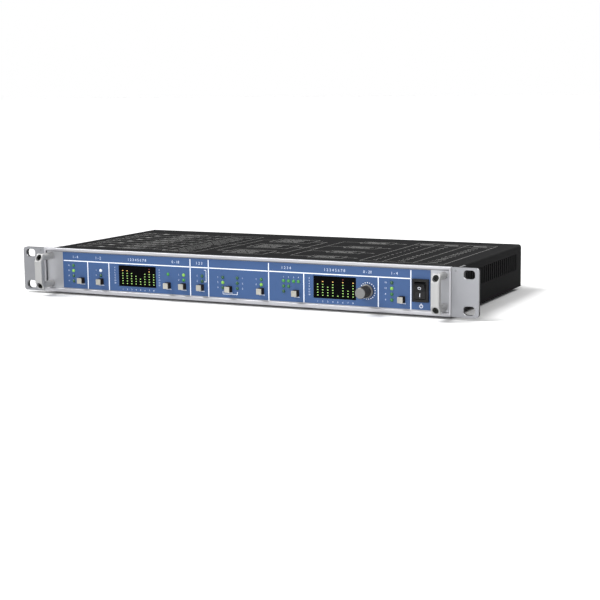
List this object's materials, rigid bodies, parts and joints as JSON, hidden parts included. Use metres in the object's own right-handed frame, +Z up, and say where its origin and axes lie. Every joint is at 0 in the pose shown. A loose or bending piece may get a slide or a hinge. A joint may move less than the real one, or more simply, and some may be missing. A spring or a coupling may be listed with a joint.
{
  "type": "rack audio interface",
  "caption": "One-unit rack audio converter with level meters, push buttons, push encoder, power rocker, front handles, and jack, optical, bayonet, multi-pole and mains sockets at the rear.",
  "frame": {"origin": "on the floor under the feet, below the middle of the whole unit's outline", "axes": "+X to the right seen from the front, +Y from the front panel to the rear sockets, +Z up"},
  "size_m": [0.4826, 0.2408, 0.0463],
  "materials": {
    "silver_paint": "silver satin coat",
    "silver_metal": "satin anodised",
    "bright_steel": "turned",
    "nickel": "nickel plate",
    "black_steel": "black oxide",
    "black_paint": "satin black",
    "grey_paint": "dark grey, fine texture",
    "blue_print": "printed film",
    "dark_lens": "smoked, clear gloss",
    "pale_plastic": "satin",
    "ivory_plastic": "satin",
    "grey_plastic": "satin",
    "dark_plastic": "satin",
    "black_plastic": "satin",
    "green_board": "solder mask",
    "rubber": "matt"
  },
  "bodies": {
    "case": {"base_tray": "black_paint", "bnc_input": "nickel", "bnc_output": "nickel", "digital_board": "green_board", "dsub_input": "nickel", "dsub_lower": "nickel", "dsub_upper": "nickel", "ear_bracket_left": "black_paint", "ear_bracket_right": "black_paint", "ear_plate_left": "silver_paint", "ear_plate_right": "silver_paint", "encoder_body": "black_steel", "fascia_overlay": "blue_print", "foot_front_left": "rubber", "foot_front_right": "rubber", "foot_rear_left": "rubber", "foot_rear_right": "rubber", "front_board": "green_board", "front_panel": "silver_paint", "handle_left": "silver_metal", "handle_right": "silver_metal", "handle_screw_left_lower": "black_steel", "handle_screw_left_upper": "black_steel", "handle_screw_right_lower": "black_steel", "handle_screw_right_upper": "black_steel", "input_jacks": "black_plastic", "main_board": "green_board", "mains_inlet": "black_plastic", "mains_wiring": "grey_plastic", "meter_window_left": "dark_lens", "meter_window_right": "dark_lens", "midi_sockets": "black_plastic", "optical_inputs": "black_plastic", "optical_outputs": "black_plastic", "output_jacks": "black_plastic", "power_supply": "green_board", "power_switch_housing": "black_plastic", "rear_panel": "grey_paint", "remote_socket": "black_plastic", "ribbon_cable": "grey_plastic", "slot_cover": "grey_paint", "top_cover": "black_paint"},
    "front_button_1": {"front_button_1": "pale_plastic"},
    "front_button_2": {"front_button_2": "pale_plastic"},
    "front_button_3": {"front_button_3": "pale_plastic"},
    "front_button_4": {"front_button_4": "pale_plastic"},
    "front_button_5": {"front_button_5": "pale_plastic"},
    "front_button_6": {"front_button_6": "pale_plastic"},
    "front_button_7": {"front_button_7": "pale_plastic"},
    "front_button_8": {"front_button_8": "pale_plastic"},
    "front_button_9": {"front_button_9": "pale_plastic"},
    "encoder_turn": {"encoder_rotor": "pale_plastic"},
    "knob": {"encoder_shaft": "bright_steel", "encoder_knob": "dark_plastic"},
    "power_rocker": {"power_rocker": "black_plastic"},
    "termination_button": {"termination_button": "ivory_plastic"},
    "optical_shutter_1": {"optical_shutter_1": "black_plastic"},
    "optical_shutter_2": {"optical_shutter_2": "black_plastic"},
    "optical_shutter_3": {"optical_shutter_3": "black_plastic"},
    "optical_shutter_4": {"optical_shutter_4": "black_plastic"}
  },
  "joints": [
    {"name": "front_button_1_press", "type": "slide", "parent": "case", "child": "front_button_1", "axis": [0, 1, 0], "range_m": [0, 0.001], "stiffness_N_per_m": 400, "springref_m": -0.002},
    {"name": "front_button_2_press", "type": "slide", "parent": "case", "child": "front_button_2", "axis": [0, 1, 0], "range_m": [0, 0.001], "stiffness_N_per_m": 400, "springref_m": -0.002},
    {"name": "front_button_3_press", "type": "slide", "parent": "case", "child": "front_button_3", "axis": [0, 1, 0], "range_m": [0, 0.001], "stiffness_N_per_m": 400, "springref_m": -0.002},
    {"name": "front_button_4_press", "type": "slide", "parent": "case", "child": "front_button_4", "axis": [0, 1, 0], "range_m": [0, 0.001], "stiffness_N_per_m": 400, "springref_m": -0.002},
    {"name": "front_button_5_press", "type": "slide", "parent": "case", "child": "front_button_5", "axis": [0, 1, 0], "range_m": [0, 0.001], "stiffness_N_per_m": 400, "springref_m": -0.002},
    {"name": "front_button_6_press", "type": "slide", "parent": "case", "child": "front_button_6", "axis": [0, 1, 0], "range_m": [0, 0.001], "stiffness_N_per_m": 400, "springref_m": -0.002},
    {"name": "front_button_7_press", "type": "slide", "parent": "case", "child": "front_button_7", "axis": [0, 1, 0], "range_m": [0, 0.001], "stiffness_N_per_m": 400, "springref_m": -0.002},
    {"name": "front_button_8_press", "type": "slide", "parent": "case", "child": "front_button_8", "axis": [0, 1, 0], "range_m": [0, 0.001], "stiffness_N_per_m": 400, "springref_m": -0.002},
    {"name": "front_button_9_press", "type": "slide", "parent": "case", "child": "front_button_9", "axis": [0, 1, 0], "range_m": [0, 0.001], "stiffness_N_per_m": 400, "springref_m": -0.002},
    {"name": "encoder_spin", "type": "hinge", "parent": "case", "child": "encoder_turn", "pos_m": [0.1365, -0.0891, 0.021], "axis": [0, 1, 0], "continuous": true},
    {"name": "knob_push", "type": "slide", "parent": "encoder_turn", "child": "knob", "axis": [0, 1, 0], "range_m": [0, 0.0006], "stiffness_N_per_m": 1000, "springref_m": -0.003},
    {"name": "power_rocker_tilt", "type": "hinge", "parent": "case", "child": "power_rocker", "pos_m": [0.188, -0.0979, 0.0243], "axis": [-1, 0, 0], "range_deg": [0, 21]},
    {"name": "termination_button_press", "type": "slide", "parent": "case", "child": "termination_button", "axis": [0, -1, 0], "range_m": [0, 0.0012], "stiffness_N_per_m": 600, "springref_m": -0.002},
    {"name": "optical_shutter_1_swing", "type": "hinge", "parent": "case", "child": "optical_shutter_1", "pos_m": [0.0551, 0.10465, 0.03516], "axis": [-1, 0, 0], "range_deg": [0, 85], "stiffness_Nm_per_rad": 0.0005, "springref_deg": -28.65},
    {"name": "optical_shutter_2_swing", "type": "hinge", "parent": "case", "child": "optical_shutter_2", "pos_m": [0.041, 0.10465, 0.03516], "axis": [-1, 0, 0], "range_deg": [0, 85], "stiffness_Nm_per_rad": 0.0005, "springref_deg": -28.65},
    {"name": "optical_shutter_3_swing", "type": "hinge", "parent": "case", "child": "optical_shutter_3", "pos_m": [-0.0309, 0.10465, 0.03516], "axis": [-1, 0, 0], "range_deg": [0, 85], "stiffness_Nm_per_rad": 0.0005, "springref_deg": -28.65},
    {"name": "optical_shutter_4_swing", "type": "hinge", "parent": "case", "child": "optical_shutter_4", "pos_m": [-0.0458, 0.10465, 0.03516], "axis": [-1, 0, 0], "range_deg": [0, 85], "stiffness_Nm_per_rad": 0.0005, "springref_deg": -28.65}
  ]
}
